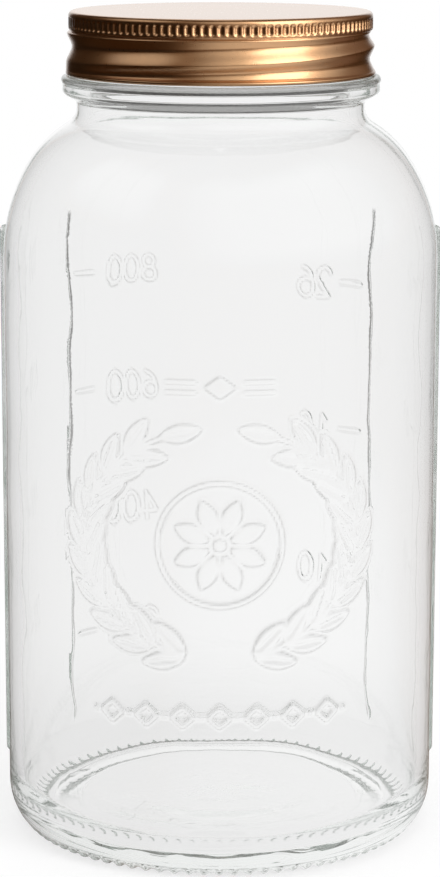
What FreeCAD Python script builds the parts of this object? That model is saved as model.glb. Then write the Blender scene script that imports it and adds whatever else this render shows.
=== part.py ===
import FreeCAD, Part
import math
import os
from FreeCAD import Vector

# A one litre preserving jar: a hollow glass body with a narrow neck, and a one-piece rolled metal screw lid.
# Millimetres and degrees, +Z up. The origin is at the middle of the base, where the jar stands.
# The outlines lie in the XZ half plane and are turned about Z. The front of the jar faces -Y.

# ---- glass body ----
BODY_RADIUS = 48.6
GLASS_THICKNESS = 3.0
BASE_PANEL_RADIUS = 31.0      # flat middle of the underside
BASE_PANEL_HEIGHT = 2.4       # how far that panel is pushed up
BASE_SLOPE = 14.0             # slope of the push-up's flank
BASE_SLOPE_BEND = 5.0
TOE_RADIUS = 4.9
TOE_TURN = 60.0
HEEL_RADIUS = 12.9
HEEL_TURN = 30.0
SHOULDER_START = 130.6
SHOULDER_LOWER_RADIUS = 40.4
SHOULDER_LOWER_TURN = 32.6
SHOULDER_UPPER_RADIUS = 25.4
SHOULDER_UPPER_TURN = 27.0
NECK_RADIUS = 32.0
NECK_TOP = 165.0
COLLAR_RADIUS = 34.95         # transfer ring under the lid
COLLAR_FLARE = 62.0           # turn from the neck into the underside of the collar
COLLAR_FLARE_BEND = 0.8
COLLAR_EDGE_BEND = 1.2
COLLAR_STRAIGHT = 1.1
CREST_TURN = 32.0             # small out-and-back turn that raises the collar's crest
CREST_BEND = 1.0
CREST_ROUND = 0.95
FINISH_RADIUS = 31.6          # glass inside the lid
FINISH_FILLET = 0.6
LIP_HEIGHT = 184.4
LIP_OUTER_ROUND = 1.2
LIP_INNER_ROUND = 1.0
FLOOR_HEIGHT = 5.2            # lowest ring of the inside floor
FLOOR_CORNER_RADIUS = 8.0
FLOOR_RISE = 5.0              # the floor's slope where it leaves the corner

# ---- grip bars moulded round the toe, which the jar stands on ----
BAR_COUNT = 84
BAR_HEIGHT = 0.6
BAR_TUBE = 0.9
BAR_WORN_FLAT = 0.06
BAR_INNER_ANGLE = 8.0
BAR_OUTER_ANGLE = 34.0
BAR_TRIM = 20.0               # block that cuts the worn flat

# ---- upright ribs on the two sides ----
RIB_TUBE = 1.5
RIB_PROUD = 0.8
RIB_BOTTOM = 16.0             # centres of the rounded ends
RIB_TOP = 136.0

# ---- lid ----
LID_TOP = 185.0
LID_TOP_THICKNESS = 0.6
LID_CORNER = 1.0
BAND_RADIUS = 33.6            # fluted grip band
BAND_INNER_RADIUS = 32.56
BAND_BOTTOM = 180.9
BAND_EDGE_BEND = 0.3
BAND_INNER_FILLET = 0.4
FLUTE_COUNT = 120
FLUTE_TUBE = 0.72
FLUTE_DEPTH = 0.36
FLUTE_BOTTOM = 181.3
FLUTE_TOP = 183.9
SKIRT_RADIUS = 34.25          # rolled wall at its lower edge
SKIRT_UPPER_RADIUS = 33.9     # rolled wall just under the grip band
SKIRT_END_RADIUS = 33.14      # where it passes into the band
SKIRT_SHEET = 0.45
SKIRT_BOTTOM = 171.6
SKIRT_TOP = 181.2
SKIRT_TURN_IN = 0.7           # height over which the wall turns in to meet the band
THREAD_LEAD = 5.2
THREAD_DEPTH = 1.15
THREAD_FLOOR = 0.4
THREAD_LOWER_FLANK = 3.0      # the groove's long flank, which faces up
THREAD_UPPER_FLANK = 1.9      # its short flank, which faces down
THREAD_FLANK_CHANGE = 0.9     # the short flank grows by this for a turn, and the long one shrinks as it ends
THREAD_FLANK_EASE = 90.0      # turn over which either flank changes
THREAD_FLANK_RETURN = 150.0   # turn over which the short flank shrinks back
THREAD_FRONT_HEIGHT = 173.3   # height of the first turn at the front
THREAD_START = -60.0          # turned angle from the front at which the groove is half faded in
THREAD_END = 500.0
THREAD_FADE = 60.0
CURL_TUBE = 0.55              # rolled lower edge
CURL_PROUD = 0.05             # how far it stands out from the wall
SKIRT_COLUMNS = 60
SKIRT_ROWS = 37

AXIS = Vector(0, 0, 1)
ORIGIN = Vector(0, 0, 0)
FULL_TURN = 360.0
FRONT_ANGLE = -90.0


class Outline:
    """A pen in the XZ half plane that draws straight runs and arcs, each tangent to the last."""

    def __init__(self, radius, height, heading):
        self.start = Vector(radius, 0, height)
        self.at = Vector(radius, 0, height)
        self.heading = heading
        self.edges = []

    def direction(self, turned=0.0):
        angle = math.radians(self.heading + turned)
        return Vector(math.cos(angle), 0, math.sin(angle))

    def line_to(self, radius, height):
        target = Vector(radius, 0, height)
        self.edges.append(Part.makeLine(self.at, target))
        self.at = target

    def run(self, length):
        target = self.at + self.direction() * length
        self.line_to(target.x, target.z)

    def run_to_height(self, height):
        self.run((height - self.at.z) / math.sin(math.radians(self.heading)))

    def bend(self, radius, turn):
        """Turns left for a positive turn and right for a negative one."""
        side = math.copysign(90.0, turn)
        centre = self.at + self.direction(side) * radius
        middle = centre - self.direction(side + turn / 2) * radius
        end = centre - self.direction(side + turn) * radius
        self.edges.append(Part.Arc(self.at, middle, end).toShape())
        self.at = end
        self.heading += turn

    def solid(self):
        """Closes the outline along a straight line and turns it about Z, with the seam at the back."""
        self.edges.append(Part.makeLine(self.at, self.start))
        face = Part.Face(Part.Wire(self.edges))
        turned = face.revolve(ORIGIN, AXIS, FULL_TURN)
        turned.rotate(ORIGIN, AXIS, 90)
        return turned


def slope_run(drop, bend, angle):
    """Length of the straight part of an S-shaped step that has an equal bend at each end."""
    turned = math.radians(angle)
    return (drop - 2 * bend * (1 - math.cos(turned))) / math.sin(turned)


def glass_outline():
    """Underside, heel, wall, shoulder, neck, collar and lip, then the same wall back down inside."""
    pen = Outline(0, BASE_PANEL_HEIGHT, 0)
    pen.run(BASE_PANEL_RADIUS)
    pen.bend(BASE_SLOPE_BEND, -BASE_SLOPE)
    pen.run(slope_run(BASE_PANEL_HEIGHT - BAR_HEIGHT, BASE_SLOPE_BEND, BASE_SLOPE))
    pen.bend(BASE_SLOPE_BEND, BASE_SLOPE)
    toe_reach = TOE_RADIUS * math.sin(math.radians(TOE_TURN))
    heel_reach = HEEL_RADIUS * (1 - math.sin(math.radians(TOE_TURN)))
    pen.line_to(BODY_RADIUS - toe_reach - heel_reach, BAR_HEIGHT)
    pen.bend(TOE_RADIUS, TOE_TURN)
    pen.bend(HEEL_RADIUS, HEEL_TURN)

    pen.run_to_height(SHOULDER_START)
    pen.bend(SHOULDER_LOWER_RADIUS, SHOULDER_LOWER_TURN)
    pen.bend(SHOULDER_UPPER_RADIUS, SHOULDER_UPPER_TURN)
    shoulder_turn = SHOULDER_LOWER_TURN + SHOULDER_UPPER_TURN
    neck_fillet = (pen.at.x - NECK_RADIUS) / (1 - math.cos(math.radians(shoulder_turn)))
    pen.bend(neck_fillet, -shoulder_turn)
    neck_bottom = pen.at.z
    pen.run_to_height(NECK_TOP)

    pen.bend(COLLAR_FLARE_BEND, -COLLAR_FLARE)
    edge_reach = COLLAR_EDGE_BEND * (1 - math.sin(math.radians(90 - COLLAR_FLARE)))
    flare = (COLLAR_RADIUS - edge_reach - pen.at.x) / math.sin(math.radians(COLLAR_FLARE))
    pen.run(flare)
    pen.bend(COLLAR_EDGE_BEND, COLLAR_FLARE)
    pen.run(COLLAR_STRAIGHT)
    pen.bend(CREST_BEND, -CREST_TURN)
    pen.bend(CREST_BEND, CREST_TURN)
    pen.bend(CREST_ROUND, 90)
    pen.run(pen.at.x - FINISH_RADIUS - FINISH_FILLET)
    pen.bend(FINISH_FILLET, -90)
    pen.run_to_height(LIP_HEIGHT - LIP_OUTER_ROUND)
    pen.bend(LIP_OUTER_ROUND, 90)
    bore_radius = NECK_RADIUS - GLASS_THICKNESS
    pen.run(pen.at.x - bore_radius - LIP_INNER_ROUND)
    pen.bend(LIP_INNER_ROUND, 90)

    pen.run_to_height(neck_bottom)
    pen.bend(neck_fillet + GLASS_THICKNESS, shoulder_turn)
    pen.bend(SHOULDER_UPPER_RADIUS - GLASS_THICKNESS, -SHOULDER_UPPER_TURN)
    pen.bend(SHOULDER_LOWER_RADIUS - GLASS_THICKNESS, -SHOULDER_LOWER_TURN)
    corner_drop = FLOOR_CORNER_RADIUS * math.cos(math.radians(FLOOR_RISE))
    pen.run_to_height(FLOOR_HEIGHT + corner_drop)
    pen.bend(FLOOR_CORNER_RADIUS, -90 - FLOOR_RISE)
    pen.bend(pen.at.x / math.sin(math.radians(FLOOR_RISE)), FLOOR_RISE)
    return pen


def rod_along(points, radius):
    """A round bar along a path of three points on an arc, with a ball at each end."""
    path = Part.Arc(*points).toShape()
    start = path.valueAt(path.FirstParameter)
    tangent = path.tangentAt(path.FirstParameter)
    ring = Part.Wire(Part.makeCircle(radius, start, tangent))
    bar = Part.Wire(path).makePipeShell([ring], True, True)
    balls = [Part.makeSphere(radius, point) for point in (points[0], points[2])]
    return bar.fuse(balls).removeSplitter()


def grip_bar():
    """One short bar that follows the toe's curve, worn flat where it touches the table."""
    toe_centre_radius = BODY_RADIUS - TOE_RADIUS * math.sin(math.radians(TOE_TURN))
    toe_centre_radius -= HEEL_RADIUS * (1 - math.sin(math.radians(TOE_TURN)))
    toe_centre_height = BAR_HEIGHT + TOE_RADIUS
    reach = TOE_RADIUS + BAR_HEIGHT + BAR_WORN_FLAT - BAR_TUBE
    points = []
    for angle in (-BAR_INNER_ANGLE, (BAR_OUTER_ANGLE - BAR_INNER_ANGLE) / 2, BAR_OUTER_ANGLE):
        turned = math.radians(angle)
        across = toe_centre_radius + reach * math.sin(turned)
        points.append(Vector(across, 0, toe_centre_height - reach * math.cos(turned)))
    bar = rod_along(points, BAR_TUBE)
    corner = Vector(toe_centre_radius - BAR_TRIM / 2, -BAR_TRIM / 2, -BAR_TRIM)
    below = Part.makeBox(BAR_TRIM, BAR_TRIM, BAR_TRIM, corner)
    return bar.cut(below)


def around(shape, count):
    """Equally spaced copies about the axis."""
    copies = []
    for index in range(count):
        copy = shape.copy()
        copy.rotate(ORIGIN, AXIS, FULL_TURN * index / count)
        copies.append(copy)
    return copies


def side_rib():
    """An upright half-sunk bar with round ends."""
    pen = Outline(0, RIB_BOTTOM - RIB_TUBE, 0)
    pen.bend(RIB_TUBE, 90)
    pen.run_to_height(RIB_TOP)
    pen.bend(RIB_TUBE, 90)
    bar = pen.solid()
    bar.translate(Vector(BODY_RADIUS + RIB_PROUD - RIB_TUBE, 0, 0))
    return bar


def make_glass_jar():
    """The revolved glass with its two side ribs and the ring of grip bars."""
    jar = glass_outline().solid()
    extras = around(side_rib(), 2) + around(grip_bar(), BAR_COUNT)
    return jar.fuse(extras)


def smooth_step(value):
    """0 below 0, 1 above 1, and a cubic between."""
    bounded = min(1.0, max(0.0, value))
    return bounded * bounded * (3 - 2 * bounded)


def groove_section(offset, unrolled):
    """The groove's depth, 0 to 1, at a height above its middle and a turn from the front."""
    if offset > 0:
        growth = smooth_step(unrolled / THREAD_FLANK_EASE)
        growth *= smooth_step((FULL_TURN + THREAD_FLANK_EASE - unrolled) / THREAD_FLANK_RETURN)
        flank = THREAD_UPPER_FLANK + THREAD_FLANK_CHANGE * growth
    else:
        flank = THREAD_LOWER_FLANK - THREAD_FLANK_CHANGE * smooth_step((unrolled - FULL_TURN) / THREAD_FLANK_EASE)
    climbed = (abs(offset) - THREAD_FLOOR / 2) / flank
    straight = 1.0 - min(1.0, max(0.0, climbed))
    return (straight + smooth_step(straight)) / 2


def skirt_radius(angle, height):
    """Outer radius of the lid's wall: a slightly tapered sheet with one helical groove rolled into it."""
    taper = (height - SKIRT_BOTTOM) / (SKIRT_TOP - SKIRT_BOTTOM)
    radius = SKIRT_RADIUS + (SKIRT_UPPER_RADIUS - SKIRT_RADIUS) * taper
    turned_in = smooth_step((height - BAND_BOTTOM + SKIRT_TURN_IN) / SKIRT_TURN_IN)
    radius -= (SKIRT_UPPER_RADIUS - SKIRT_END_RADIUS) * turned_in
    groove = 0.0
    for turn in (-1, 0, 1):
        unrolled = (angle - FRONT_ANGLE) % FULL_TURN + FULL_TURN * turn
        faded_in = smooth_step((unrolled - THREAD_START) / THREAD_FADE + 0.5)
        faded_out = smooth_step((THREAD_END - unrolled) / THREAD_FADE + 0.5)
        offset = height - THREAD_FRONT_HEIGHT - THREAD_LEAD * unrolled / FULL_TURN
        groove = max(groove, groove_section(offset, unrolled) * faded_in * faded_out)
    end_cover = smooth_step((height - SKIRT_BOTTOM) / SKIRT_TURN_IN)
    end_cover *= smooth_step((BAND_BOTTOM - height) / SKIRT_TURN_IN)
    return radius - THREAD_DEPTH * groove * end_cover


def skirt_surface(inset):
    """A closed cubic surface whose control points stand on the wall's radius less the inset.

    A uniform cubic through control points on a circle runs inside it, so they stand out by the inverse ratio.
    """
    step = 2 * math.pi / SKIRT_COLUMNS
    stand_out = 3.0 / (2.0 + math.cos(step))
    poles = []
    for column in range(SKIRT_COLUMNS):
        angle = FULL_TURN * column / SKIRT_COLUMNS
        turned = math.radians(angle)
        line = []
        for row in range(SKIRT_ROWS):
            height = SKIRT_BOTTOM + (SKIRT_TOP - SKIRT_BOTTOM) * row / (SKIRT_ROWS - 1)
            radius = (skirt_radius(angle, height) - inset) * stand_out
            line.append(Vector(radius * math.cos(turned), radius * math.sin(turned), height))
        poles.append(line)
    around_knots = [float(index) for index in range(SKIRT_COLUMNS + 1)]
    upright_knots = [float(index) for index in range(SKIRT_ROWS - 2)]
    around_mults = [1] * len(around_knots)
    upright_mults = [4] + [1] * (len(upright_knots) - 2) + [4]
    surface = Part.BSplineSurface()
    surface.buildFromPolesMultsKnots(
        poles, around_mults, upright_mults, around_knots, upright_knots, True, False, 3, 3
    )
    return surface.toShape()


def rim_wires(face):
    """The closed edges at the low and the high end of a tubular face."""
    closed = [edge for edge in face.Edges if edge.isClosed()]
    closed.sort(key=lambda edge: edge.BoundBox.ZMin)
    return Part.Wire(closed[0]), Part.Wire(closed[-1])


def make_skirt():
    """The rolled sheet wall, closed by a flat ring at each end."""
    outer = skirt_surface(0.0)
    inner = skirt_surface(SKIRT_SHEET)
    rings = []
    for outer_rim, inner_rim in zip(rim_wires(outer), rim_wires(inner)):
        rings.append(Part.makeFace([outer_rim, inner_rim], "Part::FaceMakerBullseye"))
    shell = Part.makeShell([outer, inner] + rings)
    shell.sewShape()
    skirt = Part.Solid(shell)
    if skirt.Volume < 0:
        skirt.reverse()
    return skirt


def make_lid_cap():
    """The flat top with its rounded corner and the grip band."""
    pen = Outline(0, LID_TOP - LID_TOP_THICKNESS, 0)
    pen.run(BAND_INNER_RADIUS - BAND_INNER_FILLET)
    pen.bend(BAND_INNER_FILLET, -90)
    pen.run_to_height(BAND_BOTTOM)
    pen.heading = 0
    pen.run(BAND_RADIUS - BAND_INNER_RADIUS - BAND_EDGE_BEND)
    pen.bend(BAND_EDGE_BEND, 90)
    pen.run_to_height(LID_TOP - LID_CORNER)
    pen.bend(LID_CORNER, 90)
    pen.line_to(0, LID_TOP)
    return pen.solid()


def flute_cutter():
    """A round upright tool with round ends."""
    across = BAND_RADIUS - FLUTE_DEPTH + FLUTE_TUBE
    low = Vector(across, 0, FLUTE_BOTTOM + FLUTE_TUBE)
    high = Vector(across, 0, FLUTE_TOP - FLUTE_TUBE)
    shaft = Part.makeCylinder(FLUTE_TUBE, high.z - low.z, low, AXIS)
    ends = [Part.makeSphere(FLUTE_TUBE, point) for point in (low, high)]
    return shaft.fuse(ends).removeSplitter()


def make_screw_lid():
    """Cap, flutes, rolled skirt and the curl at its lower edge."""
    cap = make_lid_cap().cut(around(flute_cutter(), FLUTE_COUNT))
    curl_centre = SKIRT_RADIUS - CURL_TUBE + CURL_PROUD
    curl = Part.makeTorus(curl_centre, CURL_TUBE, Vector(0, 0, SKIRT_BOTTOM), AXIS)
    return cap.fuse([make_skirt(), curl])


def write_part(name, shape):
    """Writes one node, after checking that it is one valid solid."""
    if shape.ShapeType != "Solid":
        if len(shape.Solids) != 1:
            raise ValueError(f"{name} has {len(shape.Solids)} solids")
        shape = shape.Solids[0]
    if not shape.isValid():
        raise ValueError(f"{name} isn't valid")
    shape.exportStep(os.path.join("parts", name + ".step"))
    box = shape.BoundBox
    size = (round(box.XLength, 2), round(box.YLength, 2), round(box.ZLength, 2))
    print(name, "size", size, "low", round(box.ZMin, 3), "volume", round(shape.Volume))


def main():
    os.makedirs("parts", exist_ok=True)
    write_part("glass_jar", make_glass_jar())
    write_part("screw_lid", make_screw_lid())


main()
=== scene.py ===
import math

import bpy
import numpy as np
from bpy.props import FloatProperty, FloatVectorProperty, IntProperty, PointerProperty
from mathutils import Matrix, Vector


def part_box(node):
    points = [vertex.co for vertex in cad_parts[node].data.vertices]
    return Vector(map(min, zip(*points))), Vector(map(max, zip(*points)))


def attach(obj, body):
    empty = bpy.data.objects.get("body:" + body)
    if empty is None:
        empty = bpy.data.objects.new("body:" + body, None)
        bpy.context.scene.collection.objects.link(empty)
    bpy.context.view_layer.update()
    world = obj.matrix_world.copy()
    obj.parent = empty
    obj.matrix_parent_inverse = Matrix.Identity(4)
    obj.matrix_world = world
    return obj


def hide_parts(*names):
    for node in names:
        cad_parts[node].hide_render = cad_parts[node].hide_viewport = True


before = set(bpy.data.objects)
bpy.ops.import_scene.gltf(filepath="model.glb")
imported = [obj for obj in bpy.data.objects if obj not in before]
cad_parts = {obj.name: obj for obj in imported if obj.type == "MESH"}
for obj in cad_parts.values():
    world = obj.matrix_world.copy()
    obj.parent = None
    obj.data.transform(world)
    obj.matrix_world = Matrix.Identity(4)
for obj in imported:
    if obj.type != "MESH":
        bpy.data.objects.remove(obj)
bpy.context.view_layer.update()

bl_info = {
    "name": "Preserving jar",
    "version": (1, 0, 0),
    "blender": (4, 5, 0),
    "location": "View3D > Sidebar > Jar",
    "description": "A moulded glass preserving jar with a rolled copper screw lid",
    "category": "Add Mesh",
}

# Sections are drawn in millimetres and degrees, +Z up, with the front of the jar towards -Y.
MM = 0.001
JAR_NODE = "glass_jar"
LID_NODE = "screw_lid"
LID_PIECE = "lid_shell"
FRONT = -90.0
BACK = 90.0

jar_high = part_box(JAR_NODE)[1]
lid_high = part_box(LID_NODE)[1]

# ---- glass section ----
BODY_RADIUS = jar_high.y / MM
LIP_HEIGHT = jar_high.z / MM
GLASS_THICKNESS = 3.0
BASE_PANEL_RADIUS = 31.0
BASE_PANEL_HEIGHT = 2.4
BASE_SLOPE = 14.0
BASE_SLOPE_BEND = 5.0
TOE_RADIUS = 4.9
TOE_TURN = 60.0
HEEL_RADIUS = 12.9
HEEL_TURN = 30.0
SHOULDER_START = 130.6
SHOULDER_LOWER_RADIUS = 40.4
SHOULDER_LOWER_TURN = 32.6
SHOULDER_UPPER_RADIUS = 25.4
SHOULDER_UPPER_TURN = 27.0
SHOULDER_TURN = SHOULDER_LOWER_TURN + SHOULDER_UPPER_TURN
NECK_RADIUS = 32.0
NECK_TOP = 165.0
COLLAR_RADIUS = 34.95
COLLAR_FLARE = 62.0
COLLAR_FLARE_BEND = 0.8
COLLAR_EDGE_BEND = 1.2
COLLAR_STRAIGHT = 1.1
CREST_TURN = 32.0
CREST_BEND = 1.0
CREST_ROUND = 0.95
FINISH_RADIUS = 31.6
FINISH_FILLET = 0.6
LIP_OUTER_ROUND = 1.2
LIP_INNER_ROUND = 1.0
FLOOR_HEIGHT = 5.2
FLOOR_CORNER_RADIUS = 8.0
FLOOR_RISE = 5.0

# ---- grip bars round the toe ----
BAR_COUNT = 84
BAR_HEIGHT = 0.6
BAR_PROUD = 0.66
BAR_HALF_WIDTH = 1.25
BAR_OUTER_REACH = 2.91
BAR_LAND = 1.7                # flat ring inside the toe that has the bars' fine spacing

# ---- side ribs ----
RIB_TUBE = 1.5
RIB_PROUD = 0.8
RIB_BOTTOM = 16.0
RIB_TOP = 136.0
WALL_TOP = 139.0              # the ribs end below this height

# ---- lid section ----
LID_TOP = lid_high.z / MM
LID_TOP_THICKNESS = 0.6
LID_CORNER = 1.0
BAND_RADIUS = 33.6
BAND_BOTTOM = 180.9
BAND_EDGE_BEND = 0.3
FLUTE_COUNT = 120
FLUTE_TUBE = 0.72
FLUTE_DEPTH = 0.36
FLUTE_BOTTOM = 181.3
FLUTE_TOP = 183.9
SKIRT_RADIUS = 34.25
SKIRT_UPPER_RADIUS = 33.9
SKIRT_END_RADIUS = 33.14
SKIRT_SHEET = 0.45
SKIRT_BOTTOM = 171.6
SKIRT_TOP = 181.2
SKIRT_TURN_IN = 0.7
THREAD_LEAD = 5.2
THREAD_DEPTH = 1.15
THREAD_FLOOR = 0.4
THREAD_LOWER_FLANK = 3.0
THREAD_UPPER_FLANK = 1.9
THREAD_FLANK_CHANGE = 0.9
THREAD_FLANK_EASE = 90.0
THREAD_FLANK_RETURN = 150.0
THREAD_FRONT_HEIGHT = 173.3
THREAD_START = -60.0
THREAD_END = 500.0
THREAD_FADE = 60.0
CURL_TUBE = 0.5

TURN_START = -130.0           # every ring of points starts near this angle
POLE_RING = 2.0               # radius of the last ring before a surface closes on the axis
WALL_GAP = 0.6                # height of the row of triangles below and above the wall
FINE_STEP = 0.54              # spacing of the wall's points where it is decorated


# ---------------------------------------------------------------- sections and rings


def smooth_step(value):
    """0 below 0, 1 above 1, and the cubic 3v^2 - 2v^3 between."""
    bounded = np.clip(value, 0.0, 1.0)
    return bounded * bounded * (3.0 - 2.0 * bounded)


def unit(angle):
    """Unit vectors at angles in degrees, one row each."""
    turned = np.radians(angle)
    return np.stack([np.cos(turned), np.sin(turned)], axis=-1)


class Pen:
    """Draws half a section as rows of (radius, height, heading).

    A run adds even steps along the heading. A bend turns about a centre that lies at right angles to the
    heading, so every run and arc is tangent to the last. The outward side is always the heading less a right
    angle.
    """

    def __init__(self, radius, height, heading):
        self.rows = [np.array([[radius, height, heading]])]

    @property
    def at(self):
        return self.rows[-1][-1]

    def run(self, length, step):
        count = max(1, round(abs(length) / step))
        along = np.linspace(0.0, length, count + 1)[1:, None]
        points = self.at[:2] + along * unit(self.at[2])
        self.rows.append(np.column_stack([points, np.full(count, self.at[2])]))

    def run_to_height(self, height, step):
        self.run((height - self.at[1]) / math.sin(math.radians(self.at[2])), step)

    def run_to_radius(self, radius, step):
        self.run((radius - self.at[0]) / math.cos(math.radians(self.at[2])), step)

    def bend(self, radius, turn, step):
        count = max(2, round(abs(math.radians(turn)) * radius / step))
        side = math.copysign(90.0, turn)
        centre = self.at[:2] + radius * unit(self.at[2] + side)
        headings = self.at[2] + np.linspace(0.0, turn, count + 1)[1:]
        points = centre - radius * unit(headings + side)
        self.rows.append(np.column_stack([points, headings]))

    def drawn(self):
        """All rows so far."""
        return np.concatenate(self.rows)


class Surface:
    """Bands of points joined into one closed surface.

    Between two rows of a band the faces are quads. Between rings of unlike spacing they are triangles:
    walking both rings together, each triangle takes the next point of whichever ring is behind.
    """

    def __init__(self):
        self.points = []
        self.faces = []
        self.count = 0

    def add_points(self, points):
        """Adds an array of points and returns their numbers in the same shape."""
        flat = points.reshape(-1, 3)
        ids = np.arange(self.count, self.count + len(flat)).reshape(points.shape[:-1])
        self.points.append(flat)
        self.count += len(flat)
        return ids

    def grid(self, ids, closed):
        """Quads between neighbouring rows and columns, and round the turn if closed."""
        low, high = ids[:-1], ids[1:]
        if closed:
            low_next, high_next = np.roll(low, -1, axis=1), np.roll(high, -1, axis=1)
        else:
            low, low_next = low[:, :-1], low[:, 1:]
            high, high_next = high[:, :-1], high[:, 1:]
        quads = np.stack([low, low_next, high_next, high], axis=-1)
        self.faces.extend(quads.reshape(-1, 4).tolist())

    def band(self, points):
        """A full turn of rows of points. Returns its first and last rings."""
        ids = self.add_points(points)
        self.grid(ids, closed=True)
        return ids[0], ids[-1]

    def zip_rows(self, low, low_at, high, high_at, period=None):
        """Triangles between two rows of points, walked together by their places low_at and high_at."""
        if period is not None:
            low, low_at = np.append(low, low[0]), np.append(low_at, low_at[0] + period)
            high, high_at = np.append(high, high[0]), np.append(high_at, high_at[0] + period)
        places = np.concatenate([low_at[1:], high_at[1:]])
        from_low = np.arange(len(places)) < len(low_at) - 1
        order = np.argsort(places, kind="stable")
        from_low = from_low[order]
        passed_low = np.cumsum(from_low) - from_low
        passed_high = np.cumsum(~from_low) - ~from_low
        here, across = low[passed_low], high[passed_high]
        low_ahead = low[np.minimum(passed_low + 1, len(low) - 1)]
        high_ahead = high[np.minimum(passed_high + 1, len(high) - 1)]
        ahead = np.where(from_low, low_ahead, high_ahead)
        self.faces.extend(np.stack([here, ahead, across], axis=-1).tolist())

    def cap(self, ids, height, low_side):
        """Closes a ring onto one point on the axis, facing down if it is the low side."""
        pole = self.add_points(np.array([[0.0, 0.0, height]]))[0]
        after = np.roll(ids, -1)
        poles = np.full(len(ids), pole)
        order = [poles, after, ids] if low_side else [ids, after, poles]
        self.faces.extend(np.stack(order, axis=-1).tolist())

    def make_object(self, name):
        """A smooth-shaded object at the origin, in metres."""
        mesh = bpy.data.meshes.new(name)
        points = np.concatenate(self.points) * MM
        mesh.from_pydata(points.tolist(), [], self.faces)
        mesh.shade_smooth()
        mesh.validate()
        piece = bpy.data.objects.new(name, mesh)
        bpy.context.scene.collection.objects.link(piece)
        return piece


def wrapped(angles):
    """Angles brought into the one turn that starts at TURN_START, in order."""
    return np.sort((np.asarray(angles) - TURN_START) % 360.0 + TURN_START)


def even_ring(count):
    """Evenly spaced angles for one turn."""
    return TURN_START + np.arange(count) * 360.0 / count


def graded(*spans):
    """Values that step evenly over each (start, end, step) span, each span without its start."""
    pieces = []
    for start, end, step in spans:
        count = max(1, round(abs(end - start) / step))
        pieces.append(np.linspace(start, end, count + 1)[1:])
    return np.concatenate(pieces)


def swept(rows, angles, relief):
    """Points of a section's rows turned to each angle and moved outwards by the relief, in millimetres.

    x = (radius + relief cos o) cos a, y = the same times sin a, z = height + relief sin o, where o is the
    outward direction, the row's heading less a right angle.
    """
    outward = np.radians(rows[:, 2] - 90.0)[:, None]
    radius = rows[:, 0][:, None] + relief * np.cos(outward)
    height = rows[:, 1][:, None] + relief * np.sin(outward)
    turned = np.radians(angles)[None, :]
    return np.stack([radius * np.cos(turned), radius * np.sin(turned), height + 0.0 * turned], axis=-1)


def apart(angles, centre):
    """Signed angle in degrees from a centre, between -180 and 180."""
    return (angles - centre + 180.0) % 360.0 - 180.0


# ---------------------------------------------------------------- raised decoration


def unrolled_wall(angles, heights, middle):
    """Arc length along the wall from a middle angle, and height, at each point of a grid."""
    return np.meshgrid(np.radians(apart(angles, middle)) * BODY_RADIUS, heights)


def plateau(inside, edge):
    """1 well inside an outline, 0 outside, rising over the edge's width across the outline."""
    return smooth_step(inside / edge + 0.5)


def leaf(u, v, middle, direction, length, width):
    """Distance inside a pointed oval: half the width times one less the squared share of the half length,
    less the distance from the leaf's line. Also returns the places along and across that line."""
    turned = math.radians(direction)
    along = (u - middle[0]) * math.cos(turned) + (v - middle[1]) * math.sin(turned)
    across = np.abs((v - middle[1]) * math.cos(turned) - (u - middle[0]) * math.sin(turned))
    share = along / (length / 2)
    return width / 2 * (1.0 - share * share) - across, along, across


def from_line(u, v, line):
    """Distance from a straight piece given as (start u, start v, end u, end v)."""
    start, run = line[:2], line[2:] - line[:2]
    share = np.clip(((u - start[0]) * run[0] + (v - start[1]) * run[1]) / (run @ run), 0.0, 1.0)
    return np.hypot(u - start[0] - share * run[0], v - start[1] - share * run[1])


# ---- front ornament: a wreath round a rosette, with a chain of lozenges below and a short rule above ----
WREATH_MIDDLE = np.array([0.0, 75.5])
WREATH_HALF_WIDTH = 30.5
WREATH_HALF_HEIGHT = 25.0
WREATH_START = -76.0
WREATH_END = 68.0
LEAF_STEPS = 10
LEAF_SPAN = 138.0             # angle that the pairs of leaves take, from the first leaf on
FIRST_LEAF = 8.0
LAST_LEAF = 6.0
LEAF_LENGTH = 10.0
LEAF_WIDTH = 4.0
LEAF_SPLAY = 26.0
LEAF_OFFSET = 2.6
STEM_HALF_WIDTH = 0.45
ROSETTE_PETALS = 8
ROSETTE_REACH = 6.4
PETAL_LENGTH = 8.6
PETAL_WIDTH = 4.2
RING_RADIUS = 2.1 * ROSETTE_REACH
BOSS_RADIUS = 1.5
CHAIN_HEIGHT = 37.5
CHAIN_PITCH = 8.0
CHAIN_COUNT = 7
CHAIN_LOZENGE = (3.3, 2.9)    # half length and half height
STUD_RADIUS = 0.62
RULE_HEIGHT = 109.5
RULE_LOZENGE = (3.6, 2.6)
RULE_BAR = (5.2, 11.5)        # where each bar starts and ends
RULE_RISE = 1.1
LINE_HALF_WIDTH = 0.5
LINE_EDGE = 0.6
ORNAMENT_PROUD = 0.5
ORNAMENT_EDGE = 0.62
FRONT_HALF_ANGLE = 43.0
WREATH_LOW = 45.2
WREATH_HIGH = 105.6


def veined_leaf(u, v, middle, direction):
    """A raised leaf of the wreath with a groove along its middle."""
    inside, along, across = leaf(u, v, middle, direction, LEAF_LENGTH, LEAF_WIDTH)
    vein = plateau(0.28 - across, 0.4) * plateau(LEAF_LENGTH * 0.36 - np.abs(along), LINE_EDGE)
    return plateau(inside, ORNAMENT_EDGE) * (1.0 - 0.75 * vein)


def wreath_stem(angle):
    """A point of the wreath's oval stem and the stem's direction there."""
    halves = np.array([WREATH_HALF_WIDTH, WREATH_HALF_HEIGHT])
    across, up = halves * unit(angle + 90.0)
    return WREATH_MIDDLE + halves * unit(angle), math.degrees(math.atan2(up, across))


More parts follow.
